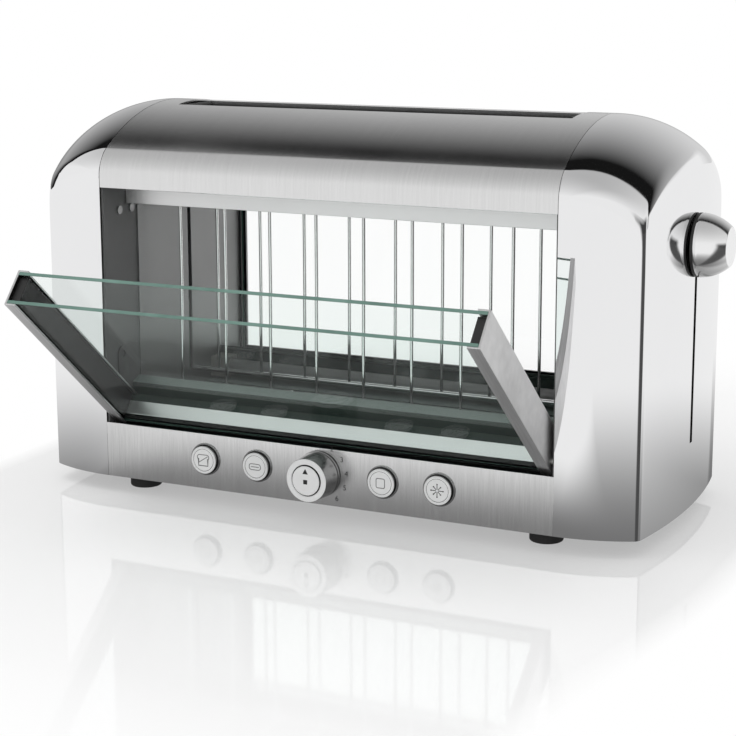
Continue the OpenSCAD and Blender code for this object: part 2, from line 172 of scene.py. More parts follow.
def new_group(name, inputs, outputs):
    group = bpy.data.node_groups.new(name, "ShaderNodeTree")
    for label, kind, value in inputs:
        socket = group.interface.new_socket(name=label, in_out="INPUT", socket_type=kind)
        if value is not None:
            socket.default_value = value
    for label, kind in outputs:
        group.interface.new_socket(name=label, in_out="OUTPUT", socket_type=kind)
    return group, group.nodes.new("NodeGroupInput"), group.nodes.new("NodeGroupOutput")


def place(tree, group, **values):
    node = tree.nodes.new("ShaderNodeGroup")
    node.node_tree = group
    for key, value in values.items():
        node.inputs[key.replace("_", " ").title()].default_value = value
    return node


# ---------- shared effects ----------

def grain_group():
    """Fine straight scratches of a brushed sheet. Stretch holds how many scratches cross a metre each way."""
    group, given, out = new_group(
        "brushed_grain",
        [("Stretch", "NodeSocketVector", (60, 60, 4)), ("Depth", "NodeSocketFloat", 0.1)],
        [("Streak", "NodeSocketFloat"), ("Patch", "NodeSocketFloat"), ("Normal", "NodeSocketVector")],
    )
    where = group.nodes.new("ShaderNodeTexCoord")
    scaled = add(group, "ShaderNodeVectorMath", operation="MULTIPLY")
    join(group, where.outputs["Object"], scaled.inputs[0])
    join(group, given.outputs["Stretch"], scaled.inputs[1])
    fine = add(group, "ShaderNodeTexNoise", scale=26.0, detail=3.0, roughness=0.7)
    wide = add(group, "ShaderNodeTexNoise", scale=1.6, detail=2.0, roughness=0.6)
    join(group, scaled.outputs[0], fine.inputs["Vector"])
    join(group, scaled.outputs[0], wide.inputs["Vector"])
    bump = add(group, "ShaderNodeBump", distance=0.0002)
    join(group, fine.outputs["Fac"], bump.inputs["Height"])
    join(group, given.outputs["Depth"], bump.inputs["Strength"])
    join(group, fine.outputs["Fac"], out.inputs["Streak"])
    join(group, wide.outputs["Fac"], out.inputs["Patch"])
    join(group, bump.outputs["Normal"], out.inputs["Normal"])
    return group


def smudge_group():
    """Slow uneven patches left by handling and wiping, from 0 to 1."""
    group, given, out = new_group(
        "wiped_patches", [("Size", "NodeSocketFloat", 9.0)], [("Patch", "NodeSocketFloat")]
    )
    where = group.nodes.new("ShaderNodeTexCoord")
    noise = add(group, "ShaderNodeTexNoise", detail=4.0, roughness=0.62)
    join(group, where.outputs["Object"], noise.inputs["Vector"])
    join(group, given.outputs["Size"], noise.inputs["Scale"])
    join(group, spread(group, noise.outputs["Fac"], 0.3, 0.7, 0, 1), out.inputs["Patch"])
    return group


def pebble_group():
    """Tiny pits and lumps of a moulded or cast surface."""
    group, given, out = new_group(
        "moulded_pebble",
        [("Size", "NodeSocketFloat", 1800.0), ("Depth", "NodeSocketFloat", 0.1)],
        [("Normal", "NodeSocketVector")],
    )
    where = group.nodes.new("ShaderNodeTexCoord")
    noise = add(group, "ShaderNodeTexNoise", detail=2.0, roughness=0.5)
    join(group, where.outputs["Object"], noise.inputs["Vector"])
    join(group, given.outputs["Size"], noise.inputs["Scale"])
    bump = add(group, "ShaderNodeBump", distance=0.0001)
    join(group, noise.outputs["Fac"], bump.inputs["Height"])
    join(group, given.outputs["Depth"], bump.inputs["Strength"])
    join(group, bump.outputs["Normal"], out.inputs["Normal"])
    return group


GRAIN = grain_group()
SMUDGE = smudge_group()
PEBBLE = pebble_group()


# ---------- materials ----------

def metal(name, colour, darker, rough, stretch=None, depth=0.05, rough_swing=0.04, smudge_size=9.0):
    """A bare metal, even or brushed: its colour moves between two near values, and so does its roughness."""
    made, tree, shader = new_material(name)
    shader.inputs["Metallic"].default_value = 1.0
    patch = place(tree, SMUDGE, size=smudge_size).outputs["Patch"]
    if stretch:
        grain = place(tree, GRAIN, stretch=stretch, depth=depth)
        mark = calc(tree, "ADD", calc(tree, "MULTIPLY", grain.outputs["Streak"], 0.75),
                    calc(tree, "MULTIPLY", grain.outputs["Patch"], 0.25))
        mask = spread(tree, mark, 0.35, 0.65, 0, 1)
        join(tree, grain.outputs["Normal"], shader.inputs["Normal"])
    else:
        mask = patch
    join(tree, blend_colours(tree, mask, darker, colour), shader.inputs["Base Color"])
    join(tree, spread(tree, patch, 0, 1, rough, rough + rough_swing), shader.inputs["Roughness"])
    return made


def brushed_steel(name, stretch, colour, darker, rough):
    made = metal(name, colour, darker, rough, stretch=stretch, depth=0.12, rough_swing=0.05)
    made.node_tree.nodes["Principled BSDF"].inputs["Anisotropic"].default_value = 0.45
    return made


def moulded(name, colour, lighter, rough, depth=0.12, size=1800.0, coat=0.0, shine=0.5):
    """Moulded plastic, rubber or enamel: an even colour with fine pebble and slow wear."""
    made, tree, shader = new_material(name)
    patch = place(tree, SMUDGE, size=22.0).outputs["Patch"]
    pebble = place(tree, PEBBLE, size=size, depth=depth)
    join(tree, blend_colours(tree, patch, colour, lighter), shader.inputs["Base Color"])
    join(tree, spread(tree, patch, 0, 1, rough, rough + 0.1), shader.inputs["Roughness"])
    join(tree, pebble.outputs["Normal"], shader.inputs["Normal"])
    shader.inputs["Coat Weight"].default_value = coat
    shader.inputs["Specular IOR Level"].default_value = shine
    return made


def window_glass(name, tint, clearer, bend):
    """Clear float glass, coated so that it throws little light back."""
    made, tree, shader = new_material(name)
    shader.inputs["Transmission Weight"].default_value = 1.0
    shader.inputs["IOR"].default_value = bend
    shader.inputs["Roughness"].default_value = 0.0
    patch = place(tree, SMUDGE, size=14.0).outputs["Patch"]
    join(tree, blend_colours(tree, patch, tint, clearer), shader.inputs["Base Color"])
    return made


def glass_edge():
    """Ground edge of a pane, where the glass shows its own green."""
    made, tree, shader = new_material("glass_edge")
    patch = place(tree, SMUDGE, size=30.0).outputs["Patch"]
    green = blend_colours(tree, patch, (0.10, 0.18, 0.15), (0.15, 0.26, 0.22))
    join(tree, green, shader.inputs["Base Color"])
    shader.inputs["Roughness"].default_value = 0.25
    return made


def quartz():
    made, tree, shader = new_material("milky_quartz")
    pebble = place(tree, PEBBLE, size=600.0, depth=0.05)
    patch = place(tree, SMUDGE, size=40.0).outputs["Patch"]
    join(tree, blend_colours(tree, patch, 0.42, 0.5), shader.inputs["Base Color"])
    join(tree, pebble.outputs["Normal"], shader.inputs["Normal"])
    shader.inputs["Transmission Weight"].default_value = 0.6
    shader.inputs["Roughness"].default_value = 0.3
    return made


def slot_liner():
    """Dark steel inside the slot, painted black below its lip: the black is painted shade deep in the slot.
    """
    made, tree, shader = new_material("slot_painted_shade")
    where = tree.nodes.new("ShaderNodeTexCoord")
    split = tree.nodes.new("ShaderNodeSeparateXYZ")
    join(tree, where.outputs["Object"], split.inputs[0])
    patch = place(tree, SMUDGE, size=30.0).outputs["Patch"]
    pebble = place(tree, PEBBLE, size=1500.0, depth=0.1)
    # painted shade: black below the lip, dark steel at the lip
    rim = spread(tree, split.outputs["Z"], 0.2250, 0.2272, 0, 1)
    lip_steel = blend_colours(tree, patch, 0.11, 0.14)
    join(tree, blend_colours(tree, rim, 0.008, lip_steel), shader.inputs["Base Color"])
    join(tree, spread(tree, patch, 0, 1, 0.4, 0.5), shader.inputs["Roughness"])
    join(tree, pebble.outputs["Normal"], shader.inputs["Normal"])
    return made


MATERIAL = {
    "polished": metal("polished_steel", (0.93, 0.93, 0.935), (0.91, 0.91, 0.918), 0.018, rough_swing=0.02),
    "cover": brushed_steel("brushed_cover", (60, 1.2, 1.2), 0.80, 0.755, 0.14),
    "panel": brushed_steel("brushed_panel", (50, 1, 1.6), 0.97, 0.86, 0.2),
    # near black: painted shade inside shells, in seams and in the door channels
    "inside": moulded("inside_painted_shade", 0.004, 0.007, 0.6, shine=0.1),
    "jamb": moulded("jamb_painted_light", 0.44, 0.47, 0.45),
    "hood_lip": moulded("hood_lip", (0.15, 0.19, 0.175), (0.18, 0.22, 0.205), 0.4),
    "hood_face": moulded("hood_face", (0.03, 0.045, 0.038), (0.04, 0.058, 0.05), 0.5, shine=0.3),
    "screw": metal("screw_head", 0.34, 0.22, 0.3, smudge_size=120.0),
    "tab": metal("pressed_tab", 0.2, 0.14, 0.4, smudge_size=80.0),
    "channel": brushed_steel("brushed_channel", (60, 2, 2), 0.86, 0.70, 0.34),
    "knob": metal("knob_steel", 0.97, 0.93, 0.13, rough_swing=0.02),
    "rail": metal("anodised_rail", (0.80, 0.83, 0.82), (0.74, 0.77, 0.76), 0.33),
    "wire": metal("bright_wire", 0.82, 0.7, 0.12),
    "zinc": metal("zinc_plate", (0.62, 0.62, 0.6), (0.5, 0.5, 0.48), 0.32, smudge_size=60.0),
    "reflector": metal("heat_reflector", 0.30, 0.26, 0.45),
    "hood": metal("hood_sheet", 0.86, 0.78, 0.4),
    "tray": metal("tray_sheet", (0.23, 0.30, 0.27), (0.17, 0.23, 0.205), 0.4, stretch=(10, 1, 1)),
    "wall": moulded("wall_enamel", 0.10, 0.115, 0.4),
    "black": moulded("black_plastic", 0.012, 0.02, 0.35),
    "rubber": moulded("foot_rubber", 0.014, 0.022, 0.6, depth=0.3),
    "glass": window_glass("door_glass", (0.93, 0.97, 0.955), (0.94, 0.975, 0.962), 1.13),
    "rear_glass": window_glass("rear_glass", (0.985, 0.99, 0.988), (0.99, 0.993, 0.991), 1.12),
    "liner": slot_liner(),
    "dial_side": metal("dial_side", 0.34, 0.28, 0.22, smudge_size=90.0),
    "dial_face": moulded("dial_face", 0.78, 0.82, 0.35, depth=0.05),
    "dark_ink": moulded("dark_ink", 0.012, 0.02, 0.5, depth=0.02),
    "edge": glass_edge(),
    "quartz": quartz(),
    "coil": metal("heater_wire", (0.3, 0.26, 0.23), (0.2, 0.17, 0.15), 0.45, smudge_size=90.0),
    "ceramic": moulded("glazed_ceramic", (0.24, 0.23, 0.21), (0.30, 0.29, 0.27), 0.35, depth=0.05),
    "button": moulded("button_silver", 0.74, 0.78, 0.3, depth=0.05, coat=0.4),
    "board": moulded("circuit_board", (0.02, 0.11, 0.05), (0.03, 0.14, 0.06), 0.3),
    "lacquer": moulded("coil_lacquer", (0.2, 0.03, 0.02), (0.28, 0.05, 0.03), 0.3),
    "ink": moulded("printed_ink", 0.13, 0.16, 0.5, depth=0.02),
}

FINISH_OF_SLOT = {
    "polished_steel": "polished", "brushed_steel": "cover", "dark_sheet": "wall", "reflector": "reflector",
    "black_plastic": "black", "foot_rubber": "rubber", "pane": "glass", "wire_steel": "wire",
    "quartz": "quartz", "coil": "coil", "ceramic": "ceramic", "button_silver": "button",
    "tray_steel": "tray", "zinc_steel": "zinc", "board": "board", "magnet": "lacquer",
    "rail_silver": "rail",
}
FINISH_OF_NODE = {
    "upper_hoods": "hood", "lower_hoods": "hood_face", "wall_screws": "screw", "door_stop_tabs": "tab",
    "heat_shield": "hood_face", "front_panel": "panel", "rear_panel": "panel",
    "door_channel_left": "channel", "door_channel_right": "channel", "browning_knob": "button",
    "rear_glass_outer": "rear_glass", "rear_glass_inner": "rear_glass", "slot_liner": "liner",
    "rear_window_frame": "black", "button_bezels": "dial_side",
}
SLOT_OF_NODE = {s["node"]: s["material_slot"] for s in frame["record"]["subparts"]}
BODY_OF_NODE = {n: body for body, members in frame["record"]["behaviour"]["bodies"].items() for n in members}


def finish_of(node):
    return MATERIAL[FINISH_OF_NODE.get(node, FINISH_OF_SLOT[SLOT_OF_NODE[node]])]


# ---------- mesh helpers ----------

def object_from(name, verts, faces, material):
    mesh = bpy.data.meshes.new(name)
    mesh.from_pydata([[c * MM for c in v] for v in verts], [], faces)
    mesh.validate()
    made = bpy.data.objects.new(name, mesh)
    bpy.context.scene.collection.objects.link(made)
    mesh.materials.append(material)
    return made


def face_outwards(mesh, towards=None):
    """Welds a mesh and turns its faces outwards, or those of an open sheet mostly towards a direction."""
    form = bmesh.new()
    form.from_mesh(mesh)
    bmesh.ops.remove_doubles(form, verts=form.verts, dist=0.003 * MM)
    bmesh.ops.recalc_face_normals(form, faces=form.faces)
    if towards and sum(towards.dot(f.normal) for f in form.faces) < 0:
        bmesh.ops.reverse_faces(form, faces=form.faces)
    form.to_mesh(mesh)
    form.free()


def settle(piece, angle=32):
    """Applies the piece's modifiers. Broad faces stay flat up to their rounded edges."""
    for polygon in piece.data.polygons:
        polygon.use_smooth = True
    piece.data.set_sharp_from_angle(angle=math.radians(angle))
    weigh = piece.modifiers.new("flat_faces", "WEIGHTED_NORMAL")
    weigh.keep_sharp = True
    weigh.weight = 80
    bpy.context.view_layer.update()
    graph = bpy.context.evaluated_depsgraph_get()
    final = bpy.data.meshes.new_from_object(piece.evaluated_get(graph))
    old = piece.data
    piece.modifiers.clear()
    piece.data = final
    final.name = piece.name
    bpy.data.meshes.remove(old)


def round_edges(piece, width, segments=2, angle=30):
    bevel = piece.modifiers.new("rounded_edges", "BEVEL")
    bevel.width = width * MM
    bevel.segments = segments
    bevel.limit_method = "ANGLE"
    bevel.angle_limit = math.radians(angle)
    bevel.miter_outer = "MITER_ARC"


def stand_for(piece, node):
    """The piece takes the place of this node, on its body."""
    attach(piece, BODY_OF_NODE[node])
    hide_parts(node)
    return piece


def dressed(node):
    """A piece with the node's own form and small rounded edges, which catch the light."""
    data = frame["nodes"][node].data
    form = bmesh.new()
    corners = [form.verts.new(v.co) for v in data.vertices]
    for polygon in data.polygons:
        try:
            form.faces.new([corners[i] for i in polygon.vertices])
        except ValueError:
            continue
    bmesh.ops.remove_doubles(form, verts=form.verts, dist=0.002 * MM)
    bmesh.ops.dissolve_limit(form, angle_limit=math.radians(0.2), verts=form.verts, edges=form.edges)
    bmesh.ops.recalc_face_normals(form, faces=form.faces)
    mesh = bpy.data.meshes.new(node + "_finished")
    form.to_mesh(mesh)
    form.free()
    piece = bpy.data.objects.new(mesh.name, mesh)
    bpy.context.scene.collection.objects.link(piece)
    mesh.materials.append(finish_of(node))
    round_edges(piece, EDGE)
    settle(piece)
    return stand_for(piece, node)


def painted(node, finish, chosen):
    """A dressed piece with a second finish on the chosen faces."""
    piece = dressed(node)
    piece.data.materials.append(MATERIAL[finish])
    for polygon in piece.data.polygons:
        if chosen(polygon):
            polygon.material_index = 1
    return piece


def arc(cx, cy, r, start, end, steps):
    """Points of an arc, with angles in degrees."""
    angles = [math.radians(start + (end - start) * i / steps) for i in range(steps + 1)]
    return [(cx + r * math.cos(a), cy + r * math.sin(a)) for a in angles]


def lathe(name, profile, material, steps=96):
    """Turns a profile of (radius, along) round the Z axis. A radius of 0 closes an end."""
    verts, faces, rings = [], [], []
    turns = [2 * math.pi * k / steps for k in range(steps)]
    for r, along in profile:
        if r < 1e-6:
            rings.append([len(verts)])
            verts.append((0, 0, along))
        else:
            rings.append(list(range(len(verts), len(verts) + steps)))
            verts += [(r * math.cos(a), r * math.sin(a), along) for a in turns]
    for lower, upper in zip(rings, rings[1:]):
        for k in range(steps):
            n = (k + 1) % steps
            if len(lower) == 1:
                faces.append((lower[0], upper[n], upper[k]))
            elif len(upper) == 1:
                faces.append((lower[k], lower[n], upper[0]))
            else:
                faces.append((lower[k], lower[n], upper[n], upper[k]))
    return object_from(name, verts, faces, material)


def turned(piece, where, towards):
    """Puts a lathe piece at a place in millimetres, its Z axis along towards."""
    turn = Vector(towards).to_track_quat("Z", "Y").to_matrix().to_4x4()
    piece.data.transform(Matrix.Translation(Vector(where) * MM) @ turn)


# ---------- end caps ----------

def section_height(y):
    """Height of the body's cross-section over a point y from the middle."""
    y = min(abs(y), HALF_D)
    if y <= KNUCKLE_Y * DOME_R / (DOME_R - SHOULDER_R):
        return DOME_Z + math.sqrt(DOME_R ** 2 - y ** 2)
    return KNUCKLE_Z + math.sqrt(max(SHOULDER_R ** 2 - (y - KNUCKLE_Y) ** 2, 0))


def cap_outline():
    """Plan of an end cap from the front seam round to the rear one, closely stepped at its two corners."""
    sweep = math.degrees(math.asin(CAP_W / SWEEP_R))
    bow = math.degrees(math.asin(CORNER_Y / BOW_R))
    front = arc(HALF_W, SWEEP_R - HALF_D, SWEEP_R, -90, -90 + sweep, 40)
    side = arc(END_X - BOW_R, 0, BOW_R, -bow, bow, 90)
    corner, near = Vector(front[-1]), 6
    before = (Vector(front[-6]) - corner).normalized()
    after = (Vector(side[4]) - corner).normalized()
    steps = [0.4, 0.9, 1.6, 2.6, 4.0, near]
    half = [p for p in front if (Vector(p) - corner).length > near + 0.5]
    half += [on_front(corner + before * t) for t in reversed(steps)] + [tuple(corner)]
    half += [on_side(corner + after * t) for t in steps]
    half += [p for p in side if (Vector(p) - corner).length > near + 0.5 and p[1] < -SLOT_HALF - 0.5]
    half.append(on_side(Vector((END_X, -SLOT_HALF))))
    return half + [(x, -y) for x, y in reversed(half)]


def on_front(point):
    middle = Vector((HALF_W, SWEEP_R - HALF_D))
    return tuple(middle + (point - middle).normalized() * SWEEP_R)


def on_side(point):
    middle = Vector((END_X - BOW_R, 0))
    return tuple(middle + (point - middle).normalized() * BOW_R)


def roof_height(x, y):
    """Height of the bent roof over a point of the plan."""
    rise = section_height(y) - BEND_Z
    return BEND_Z + math.sqrt(max(rise ** 2 - (x - HALF_W) ** 2, 0))


def eased_min(a, b, reach):
    """The smaller of two depths, rounded off where they come within reach of each other."""
    if reach <= 0:
        return min(a, b)
    near = max(reach - abs(a - b), 0) / reach
    return min(a, b) - near * near * reach / 4


def ramp(value, low, high):
    t = min(max((value - low) / (high - low), 0), 1)
    return t * t * (3 - 2 * t)


def section_depth(y, z):
    """How deep a point lies inside the cross-section."""
    y = abs(y)
    if z < KNUCKLE_Z:
        return HALF_D - y + (KNUCKLE_Z - z) * 0.25
    if y * (KNUCKLE_Z - DOME_Z) > (z - DOME_Z) * KNUCKLE_Y:
        return SHOULDER_R - math.hypot(y - KNUCKLE_Y, z - KNUCKLE_Z)
    return DOME_R - math.hypot(y, z - DOME_Z)


def cap_depth(x, y, z):
    """How deep a point lies inside an end cap with eased edges: 0 on its skin."""
    out = x - HALF_W
    front = SWEEP_R - math.hypot(out, abs(y) + SWEEP_R - HALF_D)
    side = BOW_R - math.hypot(x - END_X + BOW_R, y)
    bend = math.hypot(out, z - BEND_Z) if z > BEND_Z else out + z - BEND_Z
    roof = section_depth(y, BEND_Z + bend)
    ease = CORNER_EASE + (SIDE_EASE - CORNER_EASE) * (1 - ramp(abs(y), 35, CORNER_Y))
    return eased_min(side, eased_min(front, roof, ramp(out, 0, CAP_W) * FRONT_EASE), ease)


def onto_skin(x, y, z):
    """Moves a point of the sharp-edged form straight in to the eased skin."""
    step = 0.02
    for _ in range(5):
        depth = cap_depth(x, y, z)
        slope = Vector((cap_depth(x + step, y, z) - cap_depth(x - step, y, z),
                        cap_depth(x, y + step, z) - cap_depth(x, y - step, z),
                        cap_depth(x, y, z + step) - cap_depth(x, y, z - step))) / (2 * step)
        if slope.length < 0.2:
            break
        move = slope * (-depth / slope.length_squared)
        x, y, z = max(x + move.x, HALF_W), y + move.y, z + move.z
    return x, y, z


def end_cap(name, node, side):
    """Polished shell of one end: the dome bends down over the end, and an upright wall follows the plan."""
    outline = cap_outline()
    roof_steps = 44
    below_crest = (30, 24, 19, 15, 12, 9.5, 7.2, 5.2, 3.4, 1.7, 0)
    slot_end = 7
    slot_z = (LEVER_Z - LEVER_TRAVEL - slot_end, LEVER_Z + slot_end)
    levels = [FOOT_H, 28, slot_z[0], 70, 85, 100, 112, 124]
    verts = []
    for x, y in outline:
        upper = [roof_height(x, y) - d for d in below_crest]
        if side > 0 and abs(y) <= SLOT_HALF + 0.01:
            nearest = min(range(len(upper)), key=lambda k: abs(upper[k] - slot_z[1]))
            upper[nearest] = slot_z[1]
        points = [(x, y, z) for z in levels + upper]
        rise = section_height(y) - BEND_Z
        meet = math.acos(min((x - HALF_W) / rise, 1))
        for j in range(1, roof_steps + 1):
            a = meet + (math.pi / 2 - meet) * (j / roof_steps) ** 1.25
            points.append((HALF_W + rise * math.cos(a), y, BEND_Z + rise * math.sin(a)))
        if x - HALF_W > 0.01:
            points[len(levels):-1] = [onto_skin(*p) for p in points[len(levels):-1]]
            points[:len(levels)] = [(*onto_skin(*p)[:2], p[2]) for p in points[:len(levels)]]
        verts += [(side * px, py, pz) for px, py, pz in points]
    columns = len(levels) + len(below_crest) + roof_steps
    faces = []
    for i in range(len(outline) - 1):
        in_slot = side > 0 and abs(outline[i][1] + outline[i + 1][1]) < SLOT_HALF * 2
        for j in range(columns - 1):
            a = i * columns + j
            middle = (verts[a][2] + verts[a + 1][2]) / 2
            if in_slot and slot_z[0] < middle < slot_z[1] and j < len(levels) + len(below_crest):
                continue
            faces.append((a, a + 1, a + columns + 1, a + columns))
    piece = object_from(name, verts, faces, MATERIAL["polished"])
    # the inner side and the rims at the seam, the foot and the lever slot take the near-black inside
    # material: painted shade
    piece.data.materials.append(MATERIAL["inside"])
    face_outwards(piece.data, Vector((side, 0, 1)))
    shell = piece.modifiers.new("wall", "SOLIDIFY")
    shell.thickness = CAP_T * MM
    shell.offset = -1
    shell.use_even_offset = False
    shell.material_offset = 1
    shell.material_offset_rim = 1
    settle(piece, 50)
    settle(piece, 50)   # once more on the finished wall, whose rim then counts as sharp
    return stand_for(piece, node)


# ---------- cover ----------

def cover_profile():
    """Outer line of the brushed cover from the front window's edge over the dome to the rear one."""
    tangent = math.degrees(math.atan2(KNUCKLE_Z - DOME_Z, KNUCKLE_Y))
    front = [(-HALF_D, WIN_Z1)] + arc(-KNUCKLE_Y, KNUCKLE_Z, SHOULDER_R, 180, 180 - tangent, 16)
    lip = SLOT_W / 2
    lip_angle = math.degrees(math.acos(lip / DOME_R))
    front += arc(0, DOME_Z, DOME_R, 180 - tangent, 180 - lip_angle, 20)[1:]
    middle = arc(0, DOME_Z, DOME_R, 180 - lip_angle, lip_angle, 10)[1:-1]
    back = [(-y, z) for y, z in reversed(front)]
    return front, middle, back


def cover():
    front, middle, back = cover_profile()
    line = front + middle + back
    seam = 0.15
    stops = [-HALF_W + seam, -SLOT_L / 2, SLOT_L / 2, HALF_W - seam]
    columns = len(line)
    verts = [(x, y, z) for x in stops for y, z in line]
    hole = range(len(front) - 1, len(front) + len(middle))
    faces = []
    for i in range(len(stops) - 1):
        for j in range(columns - 1):
            if i == 1 and j in hole:
                continue
            a = i * columns + j
            faces.append((a, a + columns, a + columns + 1, a + 1))
    piece = object_from("cover_skin", verts, faces, MATERIAL["cover"])
    face_outwards(piece.data, Vector((0, 0, 1)))
    shell = piece.modifiers.new("sheet", "SOLIDIFY")
    shell.thickness = SHEET_T * MM
    shell.offset = -1
    shell.use_even_offset = True
    settle(piece)
    round_edges(piece, EDGE, 3, 40)
    settle(piece, 40)
    # the cover's ends at the seams take the near-black inside material: painted shade in the seam
    piece.data.materials.append(MATERIAL["inside"])
    for polygon in piece.data.polygons:
        if abs(polygon.normal.x) > 0.3 and abs(polygon.center.x) > (HALF_W - 1) * MM:
            polygon.material_index = 1
    return stand_for(piece, "top_cover")


# ---------- glass ----------

def pane(node):
    """A pane with polished faces and green edges."""
    piece = dressed(node)
    mesh = piece.data
    mesh.materials.append(MATERIAL["edge"])
    form = bmesh.new()
    form.from_mesh(mesh)
    broad = max(form.faces, key=lambda f: f.calc_area())
    for f in form.faces:
        if abs(f.normal.dot(broad.normal)) < 0.98 or f.calc_area() < broad.calc_area() * 0.02:
            f.material_index = 1
    form.to_mesh(mesh)
    form.free()


# ---------- buttons, dial and lever knob ----------

def lathe_of(name, profile, finishes, where, node, towards=(0, -1, 0)):
    """A turned piece. Each point of its profile is (radius, along, finish of the band up to it)."""
    piece = lathe(name, [(r, along) for r, along, _ in profile], MATERIAL[finishes[0]])
    for finish in finishes[1:]:
        piece.data.materials.append(MATERIAL[finish])
    bands = [((a[0] + b[0]) / 2, (a[1] + b[1]) / 2, b[2]) for a, b in zip(profile, profile[1:])]
    verts = piece.data.vertices
    for polygon in piece.data.polygons:
        r = sum(math.hypot(*verts[v].co.xy) for v in polygon.vertices) / len(polygon.vertices) / MM
        along = polygon.center.z / MM
        nearest = min(bands, key=lambda band: abs(band[0] - r) + abs(band[1] - along))
        polygon.material_index = finishes.index(nearest[2])
    turned(piece, where, towards)
    settle(piece, 40)
    stand_for(piece, node)


def ink(name, where, body, finish="ink", outlines=(), strokes=()):
    """Thin marks on a face that looks forward: filled outlines, and strokes of (points, width, closed)."""
    depth = INK_T
    verts, faces = [], []
    for points in outlines:
        first, count = len(verts), len(points)
        verts += [(u, v, 0) for u, v in points] + [(u, v, depth) for u, v in points]
        faces.append([first + k for k in range(count)][::-1])
        faces.append([first + count + k for k in range(count)])
        faces += [(first + k, first + (k + 1) % count, first + count + (k + 1) % count, first + count + k)
                  for k in range(count)]
    for points, width, closed in strokes:
        first, count = len(verts), len(points)
        for k, point in enumerate(points):
            here = Vector(point)
            after = Vector(points[(k + 1) % count]) if closed or k < count - 1 else here
            before = Vector(points[k - 1]) if closed or k else here
            along = (after - before).normalized()
            ahead, behind = after - here, here - before
            bend = 1.0
            if ahead.length > 0 and behind.length > 0:
                bend = max(math.sqrt(max((1 + ahead.normalized().dot(behind.normalized())) / 2, 0)), 0.5)
            off = Vector((-along.y, along.x)) * (width / 2 / bend)
            for spot in (here + off, here - off):
                verts += [(spot.x, spot.y, 0), (spot.x, spot.y, depth)]
        for k in range(count if closed else count - 1):
            a, b = first + 4 * k, first + 4 * ((k + 1) % count)
            faces += [(a, b, b + 1, a + 1), (a + 2, a + 3, b + 3, b + 2), (a + 1, b + 1, b + 3, a + 3),
                      (a, a + 2, b + 2, b)]
        if not closed:
            last = first + 4 * (count - 1)
            faces += [(first, first + 1, first + 3, first + 2), (last, last + 2, last + 3, last + 1)]
    x, y, z = where
    piece = object_from(name, [(x + u, y - w, z + v) for u, v, w in verts], faces, MATERIAL[finish])
    face_outwards(piece.data)
    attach(piece, body)


def ring_points(r, steps, start=0, end=360, cx=0, cy=0):
    whole = abs(end - start) >= 360
    return [(cx + r * math.cos(math.radians(a)), cy + r * math.sin(math.radians(a)))
            for a in (start + (end - start) * k / (steps if whole else steps - 1) for k in range(steps))]


def rounded_box(half_w, half_h, r, cx=0, cy=0):
    points = []
    for turn, (sx, sy) in enumerate(((1, 1), (-1, 1), (-1, -1), (1, -1))):
        middle = (cx + sx * (half_w - r), cy + sy * (half_h - r))
        points += ring_points(r, 6, 90 * turn, 90 * turn + 90, *middle)
    return points


def bread_slice(w, h):
    """A tin loaf's slice: straight sides, a square foot and a rounded crown that stands out a little."""
    foot = [(-w * 0.42, -h / 2), (w * 0.42, -h / 2), (w * 0.42, h * 0.12)]
    right = ring_points(w * 0.2, 7, -60, 90, w * 0.32, h * 0.27)
    left = [(-x, y) for x, y in reversed(right)]
    return foot + right + left + [(-w * 0.42, h * 0.12)]


def button_marks():
    """Plain marks of the four buttons: a slice cut across, a bun, a square slice and a snow crystal."""
    line = 0.42
    cut = (((-3.2, -1.6), (2.9, 2.3)), line, False)
    slit = (((-2.6, 0), (2.6, 0)), line, False)
    arms, dots = [], []
    for k in range(8):
        a = math.radians(45 * k)
        reach = 3.6 if k % 2 == 0 else 3.0
        tip = (reach * math.cos(a), reach * math.sin(a))
        arms.append((((0.7 * math.cos(a), 0.7 * math.sin(a)), tip), 0.4, False))
        dots.append(ring_points(0.42, 10, 0, 360, *tip))
    return (dict(strokes=[(bread_slice(7.4, 6.6), line, True), cut]),
            dict(strokes=[(rounded_box(3.7, 1.75, 1.5), line, True), slit]),
            dict(strokes=[(rounded_box(2.6, 2.7, 0.9), line, True)]),
            dict(outlines=dots, strokes=arms, finish="dark_ink"))


def build_buttons():
    """Round push buttons: a bright rim, a fine groove and a slightly dished face on a narrower stem."""
    nodes = ("button_left_outer", "button_left_inner", "button_right_inner", "button_right_outer")
    rim, groove, stem, out = BUTTON_R - 0.7, 6.6, 4, BUTTON_OUT
    # the black foot by the panel, the darker barrel and the darker floor of the groove are painted shade
    profile = [(0, -11.7, "black"), (stem, -11.7, "black"), (stem, -3, "black"), (BUTTON_R, -3, "black"),
               (BUTTON_R, 0.9, "black"), (BUTTON_R, out - 0.9, "dial_side"),
               (BUTTON_R - 0.12, out - 0.5, "dial_side"), (BUTTON_R - 0.4, out - 0.15, "dial_face"),
               (rim, out, "dial_face"), (groove + 0.35, out, "dial_face"),
               (groove + 0.1, out - 0.3, "dial_face"), (groove - 0.15, out - 0.3, "dial_side"),
               (groove - 0.4, out - 0.12, "dial_face"), (groove - 1.2, out - 0.04, "dial_face"),
               (3.0, out, "dial_face"), (0, out, "dial_face")]
    for node, dx, marks in zip(nodes, BUTTON_X, button_marks()):
        x = CONTROL_X + dx
        lathe_of(node + "_turned", profile, ("black", "dial_face", "dial_side"),
                 (x, -HALF_D, CONTROL_Z), node)
        ink(node + "_mark", (x, -HALF_D - out + INK_T / 2, CONTROL_Z), BODY_OF_NODE[node], **marks)


